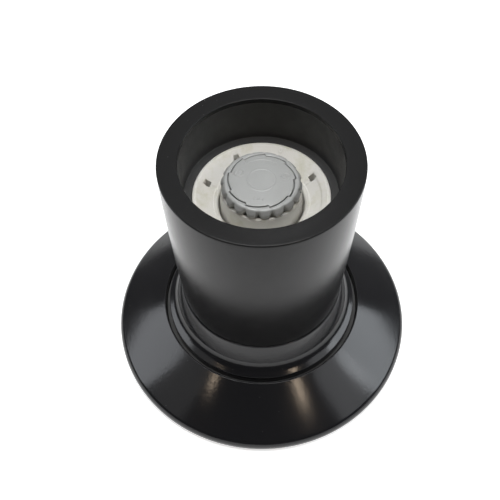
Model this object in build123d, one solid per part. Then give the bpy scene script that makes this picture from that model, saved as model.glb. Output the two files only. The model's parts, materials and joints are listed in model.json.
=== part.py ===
from build123d import *
import os
from math import cos, radians, sin, tan

# Hand spice mill with a ceramic burr mechanism, standing on its wide head with the grinder facing up.
# Millimetres. The origin is the middle of the resting face and +Z is the mill's axis.
# Every profile is a list of (radius, height) corners, with a third value where the corner is rounded.

os.makedirs("parts", exist_ok=True)

# Driving dimensions of the outside
total_height = 92.55
head_radius = 55.0
head_slope = 31.4
head_ring_top = 16.4
groove_inner = 34.5
groove_outer = 35.9
groove_floor = 13.0
collar_top = 28.85
collar_shoulder = 28.9
barrel_foot = 29.2
barrel_foot_radius = 28.5
rim_radius = 30.8
rim_edge = 0.5
rim_underside = 91.0

# Driving dimensions of the recess and the grinding mechanism
recess_mouth = 24.63
recess_floor_radius = 24.2
shelf = 76.2
flange_radius = 21.5
flange_lip = 76.5
flange_seat = 74.6
mechanism_radius = 19.0
outlet_outer = 13.55
outlet_inner = 13.0
bowl_throat = 72.3
burr_top = 70.5
drum_top = 79.5
drum_floor = 73.0
knob_radius = 12.5
knob_top = 83.6
knob_rim = 83.0
knob_seat = 81.6
knob_skirt_end = 74.0
cap_gap = 0.34
ratchet_high = 10.42
ratchet_low = 9.74

# Neck, chamber and drive
neck_outer = 22.0
neck_inner = 20.3
neck_top = 36.0
seal_height = 32.0
chamber_radius = 22.9
liner_end = 36.2
bridge_bottom = 48.2
square_end = 5.0
square_rotor = 4.0
journal_radius = 3.6
thread_radius = 2.0
shaft_bottom = 7.0
shaft_flange_top = 55.2
spring_pocket_top = 63.05

# Clearances
running = 0.06
sliding = 0.1
assembly = 0.1

# Repeats
flute_count = 18
flute_start = 4.0
ratchet_count = 9
ratchet_start = 2.0
plus_angle = 10.0
minus_angle = 156.0
keyhole_angles = (25, 115, 160, 205, 295)
pip_angles = (70, 250)
tooth_count = 24
hub_post_count = 4
collar_boss_count = 3
post_radius_from_axis = 27.0
boss_radius_from_axis = 26.0
screw_radius = 1.4


def turned(*corners):
    """Solid of revolution about Z through the given corners."""
    points = [(corner[0], 0, corner[1]) for corner in corners]
    roundings = [corner[2] if len(corner) == 3 else 0 for corner in corners]
    outline = FilletPolyline(*points, radius=roundings, close=True)
    return revolve(make_face(outline.edges()), Axis.Z)


def tube(outer, inner, bottom, top):
    """Plain ring between two radii and two heights."""
    return turned((inner, bottom), (outer, bottom), (outer, top), (inner, top))


def rod(radius, bottom, top, x=0.0, y=0.0):
    """Upright cylinder."""
    return Pos(x, y, bottom) * Cylinder(radius, top - bottom, align=(Align.CENTER, Align.CENTER, Align.MIN))


def block(length, width, bottom, top, x=0.0, y=0.0):
    """Upright box centred on x and y."""
    return Pos(x, y, bottom) * Box(length, width, top - bottom, align=(Align.CENTER, Align.CENTER, Align.MIN))


def polar(radius, angle):
    """Point at a radius and an angle in degrees."""
    return (radius * cos(radians(angle)), radius * sin(radians(angle)))


def around(shape, count, start=0.0):
    """Copies of a shape spaced evenly about Z."""
    return [Rot(0, 0, start + 360 * index / count) * shape for index in range(count)]


def screw(head_radius, head_bottom, head_top, tip, x):
    """Countersunk-style plain screw pointing up, with a cross recess in its head."""
    body = rod(head_radius, head_bottom, head_top, x) + rod(screw_radius, head_top, tip, x)
    recess_depth = 0.7 * (head_top - head_bottom)
    for turn in (0, 90):
        slot = block(1.3 * head_radius, 0.5, head_bottom - 1, head_bottom + recess_depth)
        body -= Pos(x, 0, 0) * Rot(0, 0, turn) * slot
    return body


# ---- Head -------------------------------------------------------------------------------------

def head_ring():
    """Glossy conical disc, clamped between the hub plate and the base plate."""
    drop = (head_radius - groove_outer) * tan(radians(head_slope))
    edge_height = head_ring_top - drop
    wall = 2.0
    return turned(
        (groove_outer, head_ring_top, 0.4),
        (head_radius, edge_height, 3.2),
        (head_radius, 0.6, 1.6),
        (51.6, 0.6),
        (51.6, 3.45),
        (50.6, 3.45),
        (groove_outer + wall, head_ring_top - 4.0),
        (groove_outer + wall, 9.0),
        (32.5, 9.0),
        (32.5, 10.9),
        (groove_outer, 10.9),
    )


def collar():
    """Glossy collar under the barrel: almost upright at the top, then a cove that runs out into the cone."""
    wall = 2.0
    skirt = turned(
        (neck_outer + 0.3, collar_top),
        (collar_shoulder, collar_top, 0.35),
        (31.2, 18.4, 5.2),
        (groove_inner, head_ring_top, 0.4),
        (groove_inner, groove_floor),
        (groove_inner - wall, groove_floor),
        (groove_inner - wall, 15.2),
        (30.0, 16.6),
        (28.4, 20.0),
        (27.0, 26.4),
        (neck_outer + 0.3, 26.4),
    )
    boss = rod(2.6, groove_floor, 26.4, boss_radius_from_axis)
    pilot = rod(screw_radius + 0.05, groove_floor - 1, 22.0, boss_radius_from_axis)
    for one in around(boss, collar_boss_count):
        skirt += one
    for one in around(pilot, collar_boss_count):
        skirt -= one
    return skirt


def head_hub():
    """Structural plate with the neck that guides the barrel and the floor of the spice chamber."""
    plate_bottom = 11.0
    seal_groove = 0.95
    hub = turned(
        (6.7, plate_bottom),
        (groove_inner + 1.2, plate_bottom),
        (groove_inner + 1.2, groove_floor),
        (neck_outer, groove_floor),
        (neck_outer, seal_height - 0.6),
        (neck_outer - seal_groove, seal_height - 0.6),
        (neck_outer - seal_groove, seal_height + 0.6),
        (neck_outer, seal_height + 0.6),
        (neck_outer, neck_top, 0.5),
        (neck_inner, neck_top, 0.5),
        (neck_inner, groove_floor),
        (6.7, groove_floor),
    )
    post = rod(3.2, 3.5, plate_bottom + 0.5, post_radius_from_axis)
    pilot = rod(screw_radius + 0.05, 2.5, 10.5, post_radius_from_axis)
    hole = rod(screw_radius + 0.3, plate_bottom - 1, groove_floor + 1, boss_radius_from_axis)
    rib = block(12.4, 1.6, 7.0, plate_bottom + 0.5, 17.9)
    for one in around(post, hub_post_count, 45) + around(rib, hub_post_count, 45):
        hub += one
    for one in around(pilot, hub_post_count, 45) + around(hole, collar_boss_count):
        hub -= one
    for one in around(rod(1.25, plate_bottom - 1, groove_floor - 0.4, 9.0), 3, 30):
        hub -= one
    return hub


def neck_o_ring():
    """Round rubber ring in the neck's groove; it drags on the glide ring."""
    section = 0.48
    return Pos(0, 0, seal_height) * Torus(neck_outer + 0.03 - section, section)


def shaft_socket():
    """Square drive socket that takes the end of the shaft, flanged under the hub plate."""
    body = turned(
        (0, 5.0),
        (6.6, 5.0),
        (6.6, 8.9),
        (11.2, 8.9, 0.4),
        (11.2, 10.95),
        (6.6, 10.95),
        (6.6, 19.0, 0.5),
        (0, 19.0),
    )
    mouth = square_end + 2 * sliding
    body -= block(mouth, mouth, shaft_bottom - 0.4, 20.0)
    lead_in = Pos(0, 0, 18.2) * loft([
        Pos(0, 0, 0) * Rectangle(mouth, mouth),
        Pos(0, 0, 0.9) * Rectangle(mouth + 1.8, mouth + 1.8),
    ])
    body -= lead_in
    for one in around(rod(1.3, 8.0, 12.0, 9.0), 3, 30):
        body -= one
    return body


def head_base():
    """Plate that closes the head underneath, with a seat for the non-slip ring."""
    plate = turned(
        (0, 1.8),
        (42.8, 1.8),
        (42.8, 2.3),
        (49.2, 2.3),
        (49.2, 0.9),
        (51.4, 0.9),
        (51.4, 3.4),
        (0, 3.4),
    )
    for one in around(rod(3.0, 1.0, 2.6, post_radius_from_axis), hub_post_count, 45):
        plate -= one
    for one in around(rod(screw_radius + 0.2, 1.0, 4.0, post_radius_from_axis), hub_post_count, 45):
        plate -= one
    return plate


def base_ring():
    """Soft ring that the mill stands on."""
    return turned((43.0, 2.3), (43.0, 0.0, 0.6), (49.0, 0.0, 0.6), (49.0, 2.3))


# ---- Barrel -----------------------------------------------------------------------------------

def barrel_shell():
    """Satin outer wall and rim: it widens gently all the way up to a flat rim with rounded edges."""
    wall_top = 28.0
    wall_bottom = 25.3
    mouth_round = 0.3
    outside = Spline(
        (barrel_foot_radius, 0, barrel_foot),
        (barrel_foot_radius + 1.1, 0, 50.0),
        (rim_radius - 0.55, 0, 68.0),
        (rim_radius, 0, total_height - rim_edge),
    )
    outer_edge = ThreePointArc(
        (rim_radius, 0, total_height - rim_edge),
        (rim_radius - 0.293 * rim_edge, 0, total_height - 0.293 * rim_edge),
        (rim_radius - rim_edge, 0, total_height),
    )
    mouth_edge = ThreePointArc(
        (recess_mouth + mouth_round, 0, total_height),
        (recess_mouth + 0.293 * mouth_round, 0, total_height - 0.293 * mouth_round),
        (recess_mouth, 0, total_height - mouth_round),
    )
    face = Line((rim_radius - rim_edge, 0, total_height), (recess_mouth + mouth_round, 0, total_height))
    inside = Polyline(
        (recess_mouth, 0, total_height - mouth_round),
        (recess_mouth, 0, rim_underside),
        (wall_top, 0, rim_underside),
        (wall_bottom, 0, 31.5),
        (wall_bottom, 0, barrel_foot),
        (barrel_foot_radius, 0, barrel_foot),
    )
    outline = [outside, outer_edge, face, mouth_edge, *inside.edges()]
    return revolve(make_face(outline), Axis.Z)


def barrel_liner():
    """Recess and spice chamber in one moulding; its top ring locates the outer wall under the rim."""
    bore = mechanism_radius + assembly
    holder = bore + 2.1
    liner_top = rim_underside - 0.02
    locating = 27.85
    return turned(
        (recess_mouth, liner_top),
        (locating, liner_top),
        (locating, 88.6),
        (26.9, 88.6),
        (26.4, flange_seat + 0.2),
        (23.7, flange_seat + 0.2),
        (23.7, flange_seat - 2.0),
        (holder, flange_seat - 2.0),
        (holder, bridge_bottom + 1.8, 2.0),
        (25.0, bridge_bottom - 4.2, 2.0),
        (24.9, liner_end),
        (chamber_radius, liner_end),
        (chamber_radius, bridge_bottom - 4.7, 2.0),
        (bore, bridge_bottom + 0.3, 2.0),
        (bore, flange_seat),
        (flange_radius + assembly, flange_seat),
        (flange_radius + assembly, shelf),
        (recess_floor_radius, shelf, 0.15),
    )


def barrel_foot_ring():
    """Closes the space between the outer wall and the liner, and holds the glide ring."""
    return turned(
        (23.5, barrel_foot + 0.2),
        (25.2, barrel_foot + 0.2),
        (25.2, 36.1),
        (chamber_radius, 36.1),
        (chamber_radius, 34.9),
        (23.5, 34.9),
    )


def glide_ring():
    """Low-friction bush between the barrel's foot and the head's neck."""
    inner = neck_outer + running
    return turned(
        (inner, collar_top + 0.05, 0.3),
        (25.0, collar_top + 0.05, 0.1),
        (25.0, barrel_foot + 0.15),
        (23.4, barrel_foot + 0.15),
        (23.4, 34.8),
        (inner, 34.8, 0.3),
    )


# ---- Mechanism, fixed in the barrel -----------------------------------------------------------

def mechanism_housing():
    """Off-white housing: a dished flange with the outlet in its middle, and the cylinder behind it."""
    housing = turned(
        (flange_radius, flange_seat),
        (flange_radius, flange_lip, 0.5),
        (flange_radius - 1.2, flange_lip, 0.5),
        (outlet_outer, bowl_throat, 0.5),
        (outlet_outer, burr_top),
        (17.1, burr_top),
        (17.1, bridge_bottom),
        (mechanism_radius, bridge_bottom),
        (mechanism_radius, flange_seat),
    )
    keyhole = block(1.7, 1.7, 72.9, shelf, 18.0) + block(3.0, 0.65, 73.2, shelf, 16.0)
    for angle in keyhole_angles:
        housing -= Rot(0, 0, angle) * keyhole
    for angle in pip_angles:
        housing += Rot(0, 0, angle) * rod(0.55, 75.0, 76.1, 19.2)
    return housing


def stator_ring():
    """Fixed ceramic burr: narrow at the outlet, wide where the spice comes in."""
    top = burr_top - 0.05
    bottom = burr_top - 14.5
    ring = turned((13.5, top), (17.0, top), (17.0, bottom), (15.3, bottom), (12.25, top - 6.5))
    cutter = Rot(0, -20, 0) * block(1.1, 0.9, -5.2, 5.2)
    tooth = Pos(13.8, 0, bottom + 4.0) * cutter
    for one in around(tooth, tooth_count):
        ring -= one
    return ring


def stator_retainer():
    """Ring that keeps the fixed burr against the flange."""
    return turned((14.9, 53.6), (17.0, 53.6), (17.0, 55.9), (15.5, 55.9))


def shaft_bridge():
    """Three-legged bearing at the inner end of the housing."""
    ring_top = 53.5
    hub_top = 53.9
    bridge = tube(17.0, 15.3, bridge_bottom, ring_top)
    bridge += tube(6.2, journal_radius + running, bridge_bottom, hub_top)
    leg = block(10.4, 2.2, bridge_bottom + 0.6, ring_top - 0.9, 10.8)
    for one in around(leg, 3, 90):
        bridge += one
    return bridge


# ---- Drive, turning with the head -------------------------------------------------------------

def drive_shaft():
    """Metal shaft: square end for the head, round journal, flange, rotor square and thread."""
    journal_start = bridge_bottom - 1.55
    flange_bottom = shaft_flange_top - 1.2
    square_start = 62.4
    end_length = journal_start - 0.9 - shaft_bottom
    end = Pos(0, 0, shaft_bottom) * extrude(RectangleRounded(square_end, square_end, 0.4), end_length)
    end = chamfer(end.edges().group_by(Axis.Z)[0], 0.3)
    middle = turned(
        (0, journal_start - 1.0),
        (2.45, journal_start - 1.0),
        (2.45, journal_start),
        (journal_radius, journal_start, 0.15),
        (journal_radius, flange_bottom),
        (5.4, flange_bottom),
        (5.4, shaft_flange_top),
        (2.7, shaft_flange_top),
        (2.7, square_start),
        (0, square_start),
    )
    upper = Pos(0, 0, square_start) * extrude(RectangleRounded(square_rotor, square_rotor, 0.3), 9.2)
    thread = turned((0, 71.0), (thread_radius, 71.0), (thread_radius, 80.3, 0.4), (0, 80.3))
    return end + middle + upper + thread


def shaft_clip():
    """Open retaining clip in the shaft's groove below the bridge."""
    clip = tube(5.3, 2.5, bridge_bottom - 2.4, bridge_bottom - 1.6)
    return clip - block(8.0, 4.0, bridge_bottom - 3.0, bridge_bottom, 5.0)


def thrust_washer():
    """Plain washer between the clip and the bridge."""
    return tube(5.8, journal_radius + 0.1, bridge_bottom - 1.5, bridge_bottom - 0.3)


def spring_seat_washer():
    """Thin washer on the shaft's flange, under the spring."""
    return tube(4.5, 2.8, shaft_flange_top, shaft_flange_top + 0.4)


def preload_spring():
    """Compression spring that keeps the rotor against the adjuster."""
    wire = 0.35
    coil = 3.75
    turns = 5
    bottom = shaft_flange_top + 0.4 + wire
    height = spring_pocket_top - wire - bottom
    path = Helix(pitch=height / turns, height=height, radius=coil)
    section = Plane(origin=path @ 0, z_dir=path % 0) * Circle(wire)
    return Pos(0, 0, bottom) * sweep(section, path=path)


# ---- Rotor ------------------------------------------------------------------------------------

def rotor_carrier():
    """Off-white drum that fills the outlet's middle, with the stem that the shaft drives."""
    carrier = turned(
        (0, 56.9),
        (5.5, 56.9),
        (5.5, burr_top + 0.5),
        (outlet_inner, burr_top + 0.5, 0.3),
        (outlet_inner - 0.55, drum_top, 0.5),
        (11.4, drum_top, 0.2),
        (11.6, drum_floor, 0.4),
        (0, drum_floor),
    )
    carrier -= rod(4.7, 55.0, spring_pocket_top)
    hole = square_rotor + 2 * sliding
    carrier -= block(hole, hole, spring_pocket_top - 1, drum_floor + 1)
    return carrier


def rotor_cone():
    """Turning ceramic burr."""
    top = burr_top + 0.4
    bottom = 61.1
    cone = turned((5.55, bottom), (10.2, bottom), (11.7, 64.0), (outlet_inner, top, 0.3), (5.55, top))
    cutter = Rot(0, 12, 0) * block(0.9, 0.8, -3.2, 3.2)
    tooth = Pos(11.7, 0, bottom + 1.9) * cutter
    for one in around(tooth, tooth_count):
        cone -= one
    return cone


def breaker_wheel():
    """Winged wheel below the burr that cracks whole corns."""
    bottom = 57.1
    top = 61.0
    wheel = tube(7.4, 5.55, bottom, top)
    wing = block(5.0, 1.8, bottom, top - 0.4, 9.4)
    for one in around(wing, 3):
        wheel += one
    return wheel


def click_spring():
    """Thin leaf ring with bumps that give the knob its steps."""
    ring = tube(10.9, 8.2, drum_floor + 0.05, drum_floor + 0.35)
    for one in around(rod(0.7, drum_floor + 0.05, drum_floor + 0.85, 10.0), 2):
        ring += one
    return ring


# ---- Adjuster ---------------------------------------------------------------------------------

def ratchet_outline(extra):
    """Saw-toothed outline: each tooth's edge creeps inward anticlockwise, then steps out again."""
    step = 360 / ratchet_count
    edges = []
    for index in range(ratchet_count):
        start = ratchet_start + index * step
        outer = polar(ratchet_high + extra, start)
        middle = polar((ratchet_high + ratchet_low) / 2 + extra, start + step / 2)
        inner = polar(ratchet_low + extra, start + step)
        edges.append(ThreePointArc(outer, middle, inner))
        edges.append(Line(inner, polar(ratchet_high + extra, start + step)))
    return make_face(edges)


def adjuster_wheel():
    """Fluted knob on the end of the shaft; its skirt runs inside the rotor's drum."""
    wheel = turned(
        (4.3, knob_skirt_end),
        (6.2, knob_skirt_end),
        (6.2, 80.0, 0.4),
        (9.6, 80.0, 0.4),
        (9.6, knob_skirt_end),
        (11.0, knob_skirt_end),
        (11.0, drum_top + 0.25),
        (knob_radius - 0.2, drum_top + 0.25, 0.3),
        (knob_radius, 81.4, 0.8),
        (11.5, knob_rim, 0.9),
        (4.3, knob_rim),
    )
    wheel -= Pos(0, 0, knob_seat) * extrude(ratchet_outline(cap_gap / 2), 3.0)
    flute = Pos(12.55, 0, 81.2) * Rot(0, -5, 0) * Cylinder(0.85, 4.4)
    for one in around(flute, flute_count, flute_start):
        wheel -= one
    return wheel


def adjuster_nut():
    """Threaded brass insert in the knob, running on the shaft's thread."""
    return tube(4.2, thread_radius + running, knob_skirt_end, 81.0)


def adjuster_cap():
    """Domed face disc of the knob, saw-toothed round its edge, with embossed plus and minus marks."""
    crown = 0.35
    sphere = (ratchet_high ** 2 + crown ** 2) / (2 * crown)
    disc = Pos(0, 0, knob_seat + 0.05) * extrude(ratchet_outline(-cap_gap / 2), 3.0)
    cap = disc & (Pos(0, 0, knob_top - sphere) * Sphere(sphere))
    mark_bottom = knob_top - 0.8
    mark_top = knob_top - 0.03
    mark_radius = 7.7
    bar = 2.0
    width = 0.5
    flat = block(bar, width, mark_bottom, mark_top, mark_radius)
    upright = block(width, bar, mark_bottom, mark_top, mark_radius)
    cap += Rot(0, 0, plus_angle) * (flat + upright)
    cap += Rot(0, 0, minus_angle) * upright
    return cap


# ---- Screws -----------------------------------------------------------------------------------

def collar_screws():
    """Three screws from under the hub plate into the collar's bosses."""
    one = screw(2.5, 9.0, 10.95, 21.0, boss_radius_from_axis)
    return Compound(children=around(one, collar_boss_count))


def socket_screws():
    """Three short screws that hold the socket's flange to the hub plate."""
    one = rod(2.0, 7.6, 8.85, 9.0) + rod(1.2, 8.85, 12.4, 9.0) - block(2.6, 0.5, 7.0, 8.1, 9.0)
    return Compound(children=around(one, 3, 30))


def base_screws():
    """Four screws through the base plate into the hub's posts."""
    one = screw(2.7, 1.2, 2.55, 9.5, post_radius_from_axis)
    return Compound(children=around(one, hub_post_count, 45))


NODES = [
    head_ring, collar, head_hub, neck_o_ring, shaft_socket, head_base, base_ring,
    barrel_shell, barrel_liner, barrel_foot_ring, glide_ring,
    mechanism_housing, stator_ring, stator_retainer, shaft_bridge,
    drive_shaft, shaft_clip, thrust_washer, spring_seat_washer, preload_spring,
    rotor_carrier, rotor_cone, breaker_wheel, click_spring,
    adjuster_wheel, adjuster_nut, adjuster_cap,
    collar_screws, socket_screws, base_screws,
]

for node in NODES:
    export_step(node(), f"parts/{node.__name__}.step")
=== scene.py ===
import json
import math

import bmesh
import bpy
from mathutils import Euler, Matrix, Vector


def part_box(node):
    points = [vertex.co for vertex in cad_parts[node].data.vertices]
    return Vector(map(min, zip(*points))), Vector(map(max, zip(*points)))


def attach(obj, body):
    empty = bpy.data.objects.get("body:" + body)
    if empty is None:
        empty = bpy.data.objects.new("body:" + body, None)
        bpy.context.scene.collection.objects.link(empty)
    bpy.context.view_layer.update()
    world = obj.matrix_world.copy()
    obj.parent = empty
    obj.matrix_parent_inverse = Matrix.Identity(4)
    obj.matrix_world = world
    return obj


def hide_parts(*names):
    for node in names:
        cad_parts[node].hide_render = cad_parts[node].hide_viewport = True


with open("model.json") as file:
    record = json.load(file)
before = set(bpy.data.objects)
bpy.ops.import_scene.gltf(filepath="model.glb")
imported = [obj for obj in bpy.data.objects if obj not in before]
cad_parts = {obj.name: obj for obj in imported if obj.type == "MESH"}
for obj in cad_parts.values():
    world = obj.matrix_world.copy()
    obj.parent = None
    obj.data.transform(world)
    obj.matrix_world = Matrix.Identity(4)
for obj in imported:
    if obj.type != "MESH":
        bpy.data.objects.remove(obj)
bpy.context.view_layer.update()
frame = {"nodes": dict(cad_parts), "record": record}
MM = 0.001
# Heights in metres of the finest and the coarser grain
FINE_RELIEF = 0.00002
GRAIN_RELIEF = 0.00003


# ---- Materials --------------------------------------------------------------------------------

class Shader:
    """A Principled material and short ways to wire procedural detail into it."""

    def __init__(self, name, colour, roughness, **sockets):
        self.material = bpy.data.materials.new(name)
        self.material.use_nodes = True
        self.tree = self.material.node_tree
        self.shader = self.tree.nodes["Principled BSDF"]
        self.shader.inputs["Base Color"].default_value = (*colour, 1.0)
        self.shader.inputs["Roughness"].default_value = roughness
        for socket, value in sockets.items():
            self.shader.inputs[socket.replace("_", " ")].default_value = value
        self.place = self.node("ShaderNodeTexCoord").outputs["Object"]

    def node(self, kind):
        return self.tree.nodes.new(kind)

    def link(self, source, target):
        self.tree.links.new(source, target)

    def noise(self, scale, detail=4.0, roughness=0.55, stretch=None):
        """Noise with about as many cells per metre as its scale."""
        made = self.node("ShaderNodeTexNoise")
        made.inputs["Scale"].default_value = scale
        made.inputs["Detail"].default_value = detail
        made.inputs["Roughness"].default_value = roughness
        place = self.place
        if stretch:
            mapping = self.node("ShaderNodeMapping")
            mapping.inputs["Scale"].default_value = stretch
            self.link(place, mapping.inputs["Vector"])
            place = mapping.outputs["Vector"]
        self.link(place, made.inputs["Vector"])
        return made.outputs["Fac"]

    def specks(self, scale, size):
        """Small scattered dots: 1 in a dot's middle, falling to 0 at its edge."""
        cells = self.node("ShaderNodeTexVoronoi")
        cells.inputs["Scale"].default_value = scale
        self.link(self.place, cells.inputs["Vector"])
        return self.ramp(cells.outputs["Distance"], [(0.0, 1.0), (size, 0.0)])

    def ramp(self, source, stops):
        """Maps a value through (position, value or colour) stops."""
        made = self.node("ShaderNodeValToRGB")
        elements = made.color_ramp.elements
        while len(elements) < len(stops):
            elements.new(0.5)
        for element, (position, value) in zip(elements, stops):
            element.position = position
            element.color = (*value, 1.0) if isinstance(value, tuple) else (value, value, value, 1.0)
        self.link(source, made.inputs["Fac"])
        return made.outputs["Color"]

    def mix(self, share, first, second):
        """Blends from the first colour to the second by an output."""
        made = self.node("ShaderNodeMix")
        made.data_type = "RGBA"
        self.link(share, made.inputs["Factor"])
        for socket, colour in (("A", first), ("B", second)):
            target = [i for i in made.inputs if i.name == socket and i.type == "RGBA"][0]
            target.default_value = (*colour, 1.0)
        return [o for o in made.outputs if o.type == "RGBA"][0]

    def colour(self, source):
        self.link(source, self.shader.inputs["Base Color"])

    def roughness(self, source):
        self.link(source, self.shader.inputs["Roughness"])

    def bump(self, source, height):
        """Gives the surface a fine relief, height in metres."""
        made = self.node("ShaderNodeBump")
        made.inputs["Distance"].default_value = height
        made.inputs["Strength"].default_value = 1.0
        self.link(source, made.inputs["Height"])
        self.link(made.outputs["Normal"], self.shader.inputs["Normal"])


def gloss_black():
    """High gloss black lacquer with orange peel, faint haze and a few specks of dust."""
    black = (0.009, 0.009, 0.010)
    dust = (0.10, 0.10, 0.10)
    made = Shader("gloss_black", black, 0.14, Specular_IOR_Level=0.32)
    made.roughness(made.ramp(made.noise(60.0, 5.0), [(0.3, 0.11), (0.7, 0.18)]))
    made.bump(made.noise(900.0, 2.0), FINE_RELIEF)
    made.colour(made.mix(made.specks(260.0, 0.05), black, dust))
    return made.material


def matt_black():
    """Satin soft-touch coat of the barrel and its rim, with a few specks of dust."""
    black = (0.012, 0.012, 0.0122)
    dust = (0.12, 0.12, 0.12)
    made = Shader("matt_black", black, 0.20, Specular_IOR_Level=0.12)
    made.roughness(made.ramp(made.noise(180.0), [(0.3, 0.17), (0.7, 0.21)]))
    made.bump(made.noise(2600.0, 2.0), FINE_RELIEF)
    made.colour(made.mix(made.specks(300.0, 0.04), black, dust))
    return made.material


def matt_liner():
    """Finely grained recess wall and shelf."""
    made = Shader("matt_liner", (0.016, 0.016, 0.016), 0.5)
    made.roughness(made.ramp(made.noise(240.0), [(0.3, 0.5), (0.7, 0.62)]))
    made.bump(made.noise(3200.0, 3.0), GRAIN_RELIEF)
    return made.material


def white_plastic():
    """Semi-gloss off-white moulding with faint stains of ground spice."""
    clean = (0.64, 0.63, 0.595)
    stained = (0.53, 0.52, 0.43)
    made = Shader("white_plastic", clean, 0.36)
    stain = made.ramp(made.noise(140.0, 6.0, 0.7), [(0.5, 0.0), (0.72, 1.0)])
    made.colour(made.mix(stain, clean, stained))
    made.bump(made.noise(1500.0, 3.0), FINE_RELIEF)
    return made.material


def knob_grey():
    """Semi-gloss grey moulding with faint clouds in its colour."""
    darker = (0.255, 0.261, 0.255)
    lighter = (0.285, 0.29, 0.285)
    made = Shader("knob_grey", (0.27, 0.275, 0.27), 0.34)
    made.colour(made.ramp(made.noise(120.0, 5.0), [(0.3, darker), (0.7, lighter)]))
    made.bump(made.noise(1200.0, 3.0), GRAIN_RELIEF)
    return made.material


def plain_detail(name, colour, roughness, grain=900.0):
    """A moulded, rubber or ceramic surface with fine grain in its colour, gloss and relief."""
    made = Shader(name, colour, roughness)
    lighter = tuple(min(1.0, c * 1.12) for c in colour)
    darker = tuple(c * 0.88 for c in colour)
    made.colour(made.ramp(made.noise(grain / 5), [(0.3, darker), (0.7, lighter)]))
    made.roughness(made.ramp(made.noise(grain / 3), [(0.3, roughness * 0.85), (0.7, roughness * 1.15)]))
    made.bump(made.noise(grain), FINE_RELIEF)
    return made.material


def brushed(name, colour, roughness):
    """Metal with fine turned lines round the axis."""
    made = Shader(name, colour, roughness, Metallic=1.0)
    lines = made.noise(60.0, 3.0, 0.6, stretch=(1.0, 1.0, 60.0))
    made.roughness(made.ramp(lines, [(0.3, roughness * 0.8), (0.7, roughness * 1.3)]))
    made.bump(lines, FINE_RELIEF)
    return made.material


MATERIALS = {
    "matt_black": matt_black(),
    "matt_black_liner": matt_liner(),
    "gloss_black": gloss_black(),
    "structure_black": plain_detail("structure_black", (0.018, 0.018, 0.018), 0.5),
    "seal_rubber": plain_detail("seal_rubber", (0.02, 0.02, 0.02), 0.6),
    "foot_rubber": plain_detail("foot_rubber", (0.03, 0.03, 0.03), 0.75, 1600.0),
    "bearing_plastic": plain_detail("bearing_plastic", (0.70, 0.70, 0.67), 0.4),
    "screw_steel": brushed("screw_steel", (0.55, 0.55, 0.56), 0.3),
    "shaft_metal": brushed("shaft_metal", (0.78, 0.78, 0.79), 0.25),
    "spring_steel": brushed("spring_steel", (0.6, 0.6, 0.6), 0.22),
    "white_plastic": white_plastic(),
    "burr_ceramic": plain_detail("burr_ceramic", (0.78, 0.76, 0.71), 0.5, 1400.0),
    "knob_grey": knob_grey(),
    "insert_brass": brushed("insert_brass", (0.75, 0.58, 0.28), 0.28),
}
SLOT_OF = {part["node"]: part["material_slot"] for part in frame["record"]["subparts"]}


def paint(thing, node):
    """Gives an object the finish of a CAD node."""
    thing.data.materials.clear()
    thing.data.materials.append(MATERIALS[SLOT_OF[node]])


for node_name, node_object in frame["nodes"].items():
    paint(node_object, node_name)


# ---- Mesh helpers -----------------------------------------------------------------------------

def rounded(corners, steps=6):
    """Closed outline in mm; a corner's third value is the radius it is rounded with."""
    points = []
    count = len(corners)
    for index, corner in enumerate(corners):
        here = Vector(corner[:2])
        radius = corner[2] if len(corner) == 3 else 0.0
        if not radius:
            points.append(tuple(here))
            continue
        before = (Vector(corners[index - 1][:2]) - here).normalized()
        after = (Vector(corners[(index + 1) % count][:2]) - here).normalized()
        half = before.angle(after) / 2
        reach = radius / math.tan(half)
        middle = here + (before + after).normalized() * (radius / math.sin(half))
        first = here + before * reach - middle
        last = here + after * reach - middle
        for step in range(steps + 1):
            spoke = first.lerp(last, step / steps).normalized() * radius
            points.append(tuple(middle + spoke))
    return points


def divided(start, end, count):
    """Points between two outline points, without the end."""
    return [tuple(Vector(start).lerp(Vector(end), step / count)) for step in range(count)]


def turned(name, outline, columns, shape=None, closed=True, sharp=32.0):
    """Mesh turned about the mill's axis; shape moves a point, given its angle, radius and height.

    An outline that isn't closed starts and ends on the axis.
    """
    points = []
    faces = []
    rows = len(outline)
    for column in range(columns):
        angle = 2 * math.pi * column / columns
        for radius, height in outline:
            if shape:
                radius, height = shape(angle, radius, height)
            points.append((radius * math.cos(angle) * MM, radius * math.sin(angle) * MM, height * MM))
    for column in range(columns):
        here = column * rows
        beside = (column + 1) % columns * rows
        for row in range(rows if closed else rows - 1):
            after = (row + 1) % rows
            faces.append((here + row, beside + row, beside + after, here + after))
    return mesh_object(name, points, faces, sharp)


def mesh_object(name, points, faces, sharp):
    """Smooth-shaded object, with creases where faces meet at more than the sharp angle."""
    mesh = bpy.data.meshes.new(name)
    mesh.from_pydata(points, [], faces)
    drawn = bmesh.new()
    drawn.from_mesh(mesh)
    bmesh.ops.remove_doubles(drawn, verts=drawn.verts, dist=1e-7)
    bmesh.ops.recalc_face_normals(drawn, faces=drawn.faces)
    drawn.to_mesh(mesh)
    drawn.free()
    mesh.shade_smooth()
    mesh.set_sharp_from_angle(angle=math.radians(sharp))
    made = bpy.data.objects.new(name, mesh)
    bpy.context.scene.collection.objects.link(made)
    return made


def stand_for(piece, node, body):
    """The piece shows in place of a CAD node, in that node's finish."""
    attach(piece, body)
    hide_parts(node)
    paint(piece, node)


def smooth(low, high, value):
    """0 below low, 1 above high, with an eased step between."""
    share = min(1.0, max(0.0, (value - low) / (high - low)))
    return share * share * (3 - 2 * share)


def band(low, high, edge, value):
    """1 between low and high, easing to 0 over the edge's width."""
    return smooth(low - edge, low, value) * (1 - smooth(high, high + edge, value))


def off(angle, other):
    """Signed difference of two angles in degrees."""
    return (angle - other + 180) % 360 - 180


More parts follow.
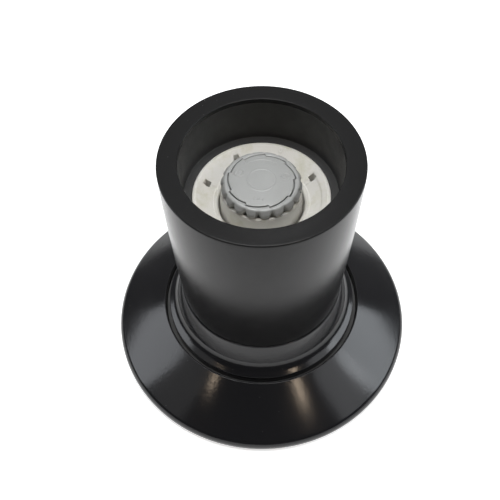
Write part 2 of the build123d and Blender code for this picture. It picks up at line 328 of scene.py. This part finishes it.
def seen_from(turn, distance, place, radius):
    """Radial and sideways distance, in mm, from a spot at a radius and an angle in degrees."""
    swing = math.radians(off(turn, place))
    return distance * math.cos(swing) - radius, distance * math.sin(swing)


# ---- Head and barrel --------------------------------------------------------------------------

# Measures in mm that neighbouring pieces share, and the number of columns round a large piece
MOUTH = 24.63
FLANGE_DEPTH = 1.9
MECHANISM = 19.0
FINE_TURN = 384


def size_of(node):
    """Largest radius, foot and top of a CAD node, in mm."""
    low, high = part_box(node)
    return high[0] / MM, low[2] / MM, high[2] / MM


def make_head_cone():
    """Glossy disc with a long cone, a rounded rim and a hollow underside."""
    radius, foot, top = size_of("head_ring")
    groove_width = 1.4
    slope = math.radians(31.4)
    inner = size_of("collar")[0] + groove_width
    edge = top - (radius - inner) * math.tan(slope)
    wall = 2.0
    rebate = radius - 3.4
    base_seat = foot + 2.85
    tongue = inner - 3.4
    tongue_bottom = 9.0
    tongue_top = 10.9
    outline = rounded([
        (inner, top, 0.4),
        (radius, edge, 3.2),
        (radius, foot, 1.6),
        (rebate, foot),
        (rebate, base_seat),
        (rebate - 1.0, base_seat),
        (inner + wall, top - 2 * wall),
        (inner + wall, tongue_bottom),
        (tongue, tongue_bottom),
        (tongue, tongue_top),
        (inner, tongue_top),
    ], 10)
    stand_for(turned("head_cone", outline, FINE_TURN), "head_ring", "head")


def make_collar():
    """Glossy collar: almost upright under the barrel, then a cove that runs out towards the cone."""
    radius, foot, top = size_of("collar")
    lip = 16.4
    wall = 2.0
    bore = 22.3
    shoulder = 28.9
    ceiling = top - 2.45
    outline = rounded([
        (bore, top),
        (shoulder, top, 0.35),
        (31.2, lip + 2.0, 5.2),
        (radius, lip, 0.4),
        (radius, foot),
        (radius - wall, foot),
        (radius - wall, lip - 1.2),
        (30.0, lip + 0.2),
        (28.4, lip + 3.6),
        (27.0, ceiling),
        (bore, ceiling),
    ], 10)
    stand_for(turned("collar_skirt", outline, FINE_TURN), "collar", "head")


def make_barrel_wall():
    """Satin outer wall: a gentle flare up to a flat rim with softly rounded edges."""
    radius, foot, top = size_of("barrel_shell")
    foot_radius = 28.5
    flare = 1.57
    steps = 48
    wall = []
    for step in range(steps):
        share = step / steps
        rise = 1 - (1 - share) ** flare
        wall.append((foot_radius + (radius - foot_radius) * rise, foot + (top - foot) * share))
    rim_underside = top - 1.55
    inside_top = 28.0
    inside_foot = 25.3
    outline = rounded([
        (MOUTH, rim_underside),
        (inside_top, rim_underside),
        (inside_foot, foot + 2.3),
        (inside_foot, foot),
        *wall,
        (radius, top, 0.5),
        (MOUTH, top, 0.3),
    ], 8)
    stand_for(turned("barrel_wall", outline, FINE_TURN), "barrel_shell", "barrel")


def make_recess_liner():
    """Recess wall, shelf and spice chamber in one moulding, with a fillet where shelf meets wall."""
    locating, foot, top = size_of("barrel_liner")
    flange, bottom, flange_top = size_of("mechanism_housing")
    clearance = 0.1
    wall = 2.0
    step_height = 88.6
    step_radius = 23.7
    seat = flange_top - FLANGE_DEPTH
    bore = MECHANISM + clearance
    holder = bore + 2.1
    chamber = 22.9
    shelf = 76.2
    outline = rounded([
        (MOUTH, top),
        (locating, top),
        (locating, step_height),
        (26.9, step_height),
        (26.4, seat + 0.2),
        (step_radius, seat + 0.2),
        (step_radius, seat - wall),
        (holder, seat - wall),
        (holder, bottom + 1.8, 2.0),
        (25.0, bottom - 4.2, 2.0),
        (24.9, foot),
        (chamber, foot),
        (chamber, bottom - 4.7, 2.0),
        (bore, bottom + 0.3, 2.0),
        (bore, seat),
        (flange + clearance, seat),
        (flange + clearance, shelf, 0.12),
        (24.2, shelf, 0.25),
    ], 6)
    stand_for(turned("recess_liner", outline, FINE_TURN), "barrel_liner", "barrel")


# ---- Grinding mechanism -----------------------------------------------------------------------

# Places round the axis in degrees, radii and heights in mm, and how fine the detailed pieces are
KEYHOLES = (25.0, 115.0, 160.0, 205.0, 295.0)
KEYHOLE_RADIUS = 18.0
PIPS = (70.0, 250.0)
PIP_RADIUS = 19.2
PANEL = (-19.0, 21.0)
THROAT = 72.3
DETAIL_TURN = 720
DETAIL_CREASE = 50.0


def keyhole_depth(turn, distance, place):
    """Depth of one release keyhole: a square hole in a dimple, with a shallow groove towards the axis."""
    dimple_depth = 0.18
    hole_depth = 6.0
    groove_depth = 0.22
    along, across = seen_from(turn, distance, place, KEYHOLE_RADIUS)
    across = abs(across)
    dimple = 1 - smooth(0.8, 1.9, math.hypot(along, across))
    hole = band(-0.85, 0.85, 0.12, along) * (1 - smooth(0.85, 0.97, across))
    groove = band(-3.2, -0.8, 0.25, along) * (1 - smooth(0.28, 0.5, across))
    return max(dimple_depth * dimple, hole_depth * hole, groove_depth * groove)


def housing_relief(angle, radius, height):
    """Keyholes, raised outlet lip, sunk panel and small ring-shaped pips in the dished flange."""
    dish_edge = 20.6
    reach = 17.0
    lip_height = 0.22
    panel_depth = 0.28
    pip_height = 0.3
    if height < THROAT - 0.1 or radius > dish_edge:
        return radius, height
    turn = math.degrees(angle)
    height += lip_height * band(13.9, 14.9, 0.25, radius)
    height -= panel_depth * band(*PANEL, 1.5, off(turn, 0.0)) * band(15.4, 18.4, 0.6, radius)
    for place in KEYHOLES:
        if abs(off(turn, place)) < reach:
            height -= keyhole_depth(turn, radius, place)
    for place in PIPS:
        if abs(off(turn, place)) < reach:
            away = math.hypot(*seen_from(turn, radius, place, PIP_RADIUS))
            height += pip_height * band(0.25, 0.6, 0.12, away)
    return radius, height


def make_housing():
    """Dished off-white flange round the outlet, with the cylinder behind it."""
    flange, bottom, top = size_of("mechanism_housing")
    seat = top - FLANGE_DEPTH
    outlet = 13.55
    burr_top = 70.5
    burr_bore = 17.1
    dish_drop = 2.0
    dish_rings = 70
    corners = rounded([
        (MECHANISM, bottom),
        (MECHANISM, seat),
        (flange, seat),
        (flange, top, 0.5),
        (flange - 1.2, top, 0.5),
        (outlet, THROAT, 0.5),
        (outlet, burr_top),
        (burr_bore, burr_top),
        (burr_bore, bottom),
    ], 6)
    outline = []
    for corner, following in zip(corners, [*corners[1:], corners[0]]):
        falls_inward = corner[0] > following[0] and corner[1] - following[1] > dish_drop
        outline += divided(corner, following, dish_rings) if falls_inward else [corner]
    dish = turned("outlet_dish", outline, DETAIL_TURN, housing_relief, sharp=DETAIL_CREASE)
    stand_for(dish, "mechanism_housing", "barrel")


def make_drum():
    """Tapered off-white drum in the outlet, under the knob, with its driven stem."""
    radius, bottom, top = size_of("rotor_carrier")
    shaft_hole = 2.15
    pocket = 4.7
    pocket_top = 63.4
    stem = 5.5
    drum_bottom = 71.0
    drum_floor = 73.0
    outline = rounded([
        (shaft_hole, pocket_top),
        (pocket, pocket_top),
        (pocket, bottom),
        (stem, bottom),
        (stem, drum_bottom),
        (radius, drum_bottom, 0.3),
        (radius - 0.55, top, 0.5),
        (11.4, top, 0.2),
        (11.6, drum_floor, 0.4),
        (shaft_hole, drum_floor),
    ], 6)
    stand_for(turned("outlet_drum", outline, 256), "rotor_carrier", "rotor")


# ---- Adjuster ---------------------------------------------------------------------------------

# Counts, places round the axis in degrees, and radii, gap and height in mm
TEETH = 9
TOOTH_START = 2.0
TOOTH_HIGH = 10.42
TOOTH_LOW = 9.74
GAP = 0.34
FLUTES = 18
FLUTE_START = 4.0
PLUS = 10.0
MINUS = 156.0
DOTS = (-108.0, -98.0, -88.0)
MARK_RADIUS = 7.4
MARK_HEIGHT = 0.11


def tooth_edge(turn):
    """Radius of the saw-toothed line between the face disc and the wheel, at an angle in degrees."""
    share = (turn - TOOTH_START) % (360 / TEETH) / (360 / TEETH)
    creep = 0.965
    if share < creep:
        return TOOTH_HIGH - (TOOTH_HIGH - TOOTH_LOW) * share / creep
    return TOOTH_LOW + (TOOTH_HIGH - TOOTH_LOW) * (share - creep) / (1 - creep)


def flute_depth(turn, down):
    """Depth of the flutes, from the wheel's top, where down is 0, to its lower edge, where it is 1."""
    swing = off(turn * FLUTES, FLUTE_START * FLUTES) / 360
    width = 0.12 + 0.07 * down
    deepest = 0.16 + 1.05 * smooth(0.05, 0.75, down)
    return deepest * math.exp(-(swing / width) ** 2)


def make_knob():
    """Fluted wheel: rounded lobes between scoops that deepen and widen towards its foot."""
    radius, foot, top = size_of("adjuster_wheel")
    under = 79.75
    seat = 81.6
    bevel = 0.12
    row_spacing = 0.12
    skirt = 11.0
    nut_bore = 4.3
    hub = 6.2
    skirt_inside = 9.6
    hollow_top = 80.0
    hollow_bevel = 0.2
    outer = rounded([
        (TOOTH_HIGH + bevel, top),
        (11.5, top, 0.9),
        (radius, 81.4, 0.8),
        (radius - 0.2, under, 0.3),
        (skirt, under),
    ], 10)
    sides = []
    for start, end in zip(outer, outer[1:]):
        length = (Vector(end) - Vector(start)).length
        sides += divided(start, end, max(1, round(length / row_spacing)))
    outline = [
        (nut_bore, foot),
        (nut_bore, seat),
        (TOOTH_HIGH, seat),
        (TOOTH_HIGH, top - bevel),
        *sides,
        (skirt, under),
        (skirt, foot),
        (skirt_inside, foot),
        (skirt_inside, hollow_top - hollow_bevel),
        (skirt_inside - hollow_bevel, hollow_top),
        (hub + hollow_bevel, hollow_top),
        (hub, hollow_top - hollow_bevel),
        (hub, foot),
    ]

    def shape(angle, distance, height):
        """Moves the pocket's wall onto the saw-toothed line, and cuts the flutes."""
        turn = math.degrees(angle)
        if height > seat - 0.1 and abs(distance - TOOTH_HIGH) < 0.2:
            return tooth_edge(turn) + GAP / 2 + distance - TOOTH_HIGH, height
        if distance <= skirt + 0.02 or height < under - 0.1:
            return distance, height
        down = min(1.0, max(0.0, (top - height) / (top - under)))
        return max(skirt + 0.05, distance - flute_depth(turn, down)), height

    wheel = turned("knob_wheel", outline, DETAIL_TURN, shape, sharp=DETAIL_CREASE)
    stand_for(wheel, "adjuster_wheel", "adjuster")


def stroke(across, along):
    """One short straight bar of a mark, as a share of the marks' height."""
    return (1 - smooth(0.18, 0.28, abs(across))) * (1 - smooth(0.75, 0.85, abs(along)))


def sign_relief(turn, distance, place, is_plus):
    """A plus or a minus in a circle."""
    reach = 2.2
    radial, sideways = seen_from(turn, distance, place, MARK_RADIUS)
    away = math.hypot(radial, sideways)
    if away > reach:
        return 0.0
    upright = stroke(sideways, radial) if is_plus else 0.0
    return max(stroke(radial, sideways), upright, band(1.25, 1.45, 0.1, away))


def arrow_relief(turn, distance):
    """Double-headed turning arrow along an arc on the disc's far side."""
    line_end = 30.0
    head_end = 38.0
    middle = 8.2
    half_width = 0.15
    head_half_width = 0.85
    swing = abs(off(turn, 90.0))
    line = 1 - smooth(line_end, line_end + 0.6, swing)
    line *= band(middle - half_width, middle + half_width, 0.1, distance)
    if not line_end < swing < head_end:
        return line
    taper = head_half_width * (head_end - swing) / (head_end - line_end)
    return max(line, 1 - smooth(0.0, 0.1, abs(distance - middle) - taper))


def emboss(turn, distance):
    """Height in mm of the marks on the face disc: plus, minus, turning arrow, ring and dots."""
    ring_share = 0.6
    marks = [
        sign_relief(turn, distance, PLUS, True),
        sign_relief(turn, distance, MINUS, False),
        arrow_relief(turn, distance),
        ring_share * band(4.1, 4.35, 0.15, distance),
    ]
    for place in DOTS:
        away = math.hypot(*seen_from(turn, distance, place, MARK_RADIUS))
        marks.append(1 - smooth(0.3, 0.42, away))
    return MARK_HEIGHT * max(marks)


def make_face_disc():
    """Domed face disc with a saw-toothed edge and embossed marks."""
    foot, top = size_of("adjuster_cap")[1:]
    crown = 0.35
    bevel = 0.1
    rings = 110
    marks_room = 0.12
    outline = [(ring / rings, 0.0) for ring in range(rings)]
    outline += [(1.0, 0.0), (1.0, -1.0), (0.0, -1.0)]

    def shape(angle, share, level):
        """Turns a share of the disc's radius, on its face or its underside, into radius and height."""
        turn = math.degrees(angle)
        edge = tooth_edge(turn) - GAP / 2
        if level < 0:
            return share * edge, foot
        distance = share * (edge - bevel) if share < 1.0 else edge
        dome = top - marks_room - crown * (distance / TOOTH_HIGH) ** 2
        if share < 1.0:
            return distance, dome + emboss(turn, distance)
        return distance, dome - bevel

    disc = turned("face_disc", outline, DETAIL_TURN, shape, closed=False, sharp=DETAIL_CREASE)
    stand_for(disc, "adjuster_cap", "adjuster")


# ---- Stage, lights and camera -----------------------------------------------------------------

def make_camera():
    """Camera 56 degrees above the table, close, a little left of the mill's axis, rolled slightly."""
    camera = bpy.data.objects.new("camera", bpy.data.cameras.new("camera"))
    bpy.context.scene.collection.objects.link(camera)
    camera.data.sensor_width = 36.0
    camera.data.lens = 52.04
    camera.data.clip_start = 0.01
    elevation = math.radians(55.935)
    roll = math.radians(-1.253)
    distance = 0.24863
    aim = Vector((-0.0039, 0.0, 0.04576))
    away = Vector((0.0, -math.cos(elevation), math.sin(elevation)))
    camera.location = aim + distance * away
    tilt = Euler((math.pi / 2 - elevation, 0.0, 0.0)).to_matrix()
    camera.rotation_euler = (tilt @ Euler((0.0, 0.0, roll)).to_matrix()).to_euler()
    bpy.context.scene.camera = camera


def softbox(name, azimuth, elevation, size, radiance, colour):
    """Rectangular light that faces the mill from a direction; radiance is its brightness as seen."""
    distance = 0.9
    turn = math.radians(azimuth)
    lift = math.radians(elevation)
    aim = Vector((0.0, 0.0, 0.05))
    away = Vector((math.cos(turn) * math.cos(lift), math.sin(turn) * math.cos(lift), math.sin(lift)))
    light = bpy.data.lights.new(name, "AREA")
    light.shape = "RECTANGLE"
    light.size = size[0]
    light.size_y = size[1]
    light.energy = radiance * math.pi * size[0] * size[1]
    light.color = colour
    lamp = bpy.data.objects.new(name, light)
    bpy.context.scene.collection.objects.link(lamp)
    lamp.location = aim + distance * away
    lamp.rotation_euler = away.to_track_quat("Z", "Y").to_euler()


def make_table():
    """White light table, bright enough to stay white round the mill."""
    mesh = bpy.data.meshes.new("table")
    drawn = bmesh.new()
    bmesh.ops.create_grid(drawn, x_segments=2, y_segments=2, size=3.0)
    drawn.to_mesh(mesh)
    drawn.free()
    table = bpy.data.objects.new("table", mesh)
    bpy.context.scene.collection.objects.link(table)
    white = bpy.data.materials.new("table_white")
    white.use_nodes = True
    shader = white.node_tree.nodes["Principled BSDF"]
    shader.inputs["Base Color"].default_value = (0.85, 0.85, 0.85, 1.0)
    shader.inputs["Roughness"].default_value = 0.8
    shader.inputs["Emission Color"].default_value = (1.0, 1.0, 1.0, 1.0)
    shader.inputs["Emission Strength"].default_value = 0.55
    mesh.materials.append(white)


def make_surround():
    """Room that is dark in front of the mill and paler towards the back and overhead."""
    world = bpy.data.worlds.new("surround")
    bpy.context.scene.world = world
    world.use_nodes = True
    tree = world.node_tree
    place = tree.nodes.new("ShaderNodeTexCoord")
    facing = tree.nodes.new("ShaderNodeVectorMath")
    facing.operation = "DOT_PRODUCT"
    facing.inputs[1].default_value = (0.05, 0.55, 0.83)
    ramp = tree.nodes.new("ShaderNodeValToRGB")
    stops = ((0.25, 0.03), (0.60, 0.18), (0.95, 0.45))
    while len(ramp.color_ramp.elements) < len(stops):
        ramp.color_ramp.elements.new(0.5)
    for element, (position, level) in zip(ramp.color_ramp.elements, stops):
        element.position = position
        element.color = (level, level, level, 1.0)
    tree.links.new(place.outputs["Generated"], facing.inputs[0])
    tree.links.new(facing.outputs["Value"], ramp.inputs["Fac"])
    tree.links.new(ramp.outputs["Color"], tree.nodes["Background"].inputs["Color"])


make_head_cone()
make_collar()
make_barrel_wall()
make_recess_liner()
make_housing()
make_drum()
make_knob()
make_face_disc()
make_camera()
make_table()
make_surround()
softbox("left_window", 172.0, 27.0, (0.55, 0.34), 4.6, (0.92, 0.95, 1.0))
softbox("right_window", 3.0, 27.0, (0.60, 0.36), 6.2, (0.90, 0.95, 1.0))
softbox("right_fill", -25.0, 36.0, (0.40, 0.30), 2.0, (0.95, 0.97, 1.0))
softbox("left_fill", -156.0, 36.0, (0.35, 0.30), 0.6, (1.0, 1.0, 1.0))
softbox("overhead", 90.0, 83.0, (0.50, 0.50), 9.0, (1.0, 1.0, 1.0))
softbox("lamp_left", -137.0, 45.0, (0.05, 0.05), 22.0, (1.0, 0.80, 0.60))
softbox("lamp_right", -57.0, 46.5, (0.05, 0.12), 26.0, (1.0, 0.80, 0.60))
softbox("back_spot", 85.0, 56.0, (0.05, 0.05), 10.0, (1.0, 1.0, 1.0))
bpy.context.scene.view_settings.view_transform = "Standard"
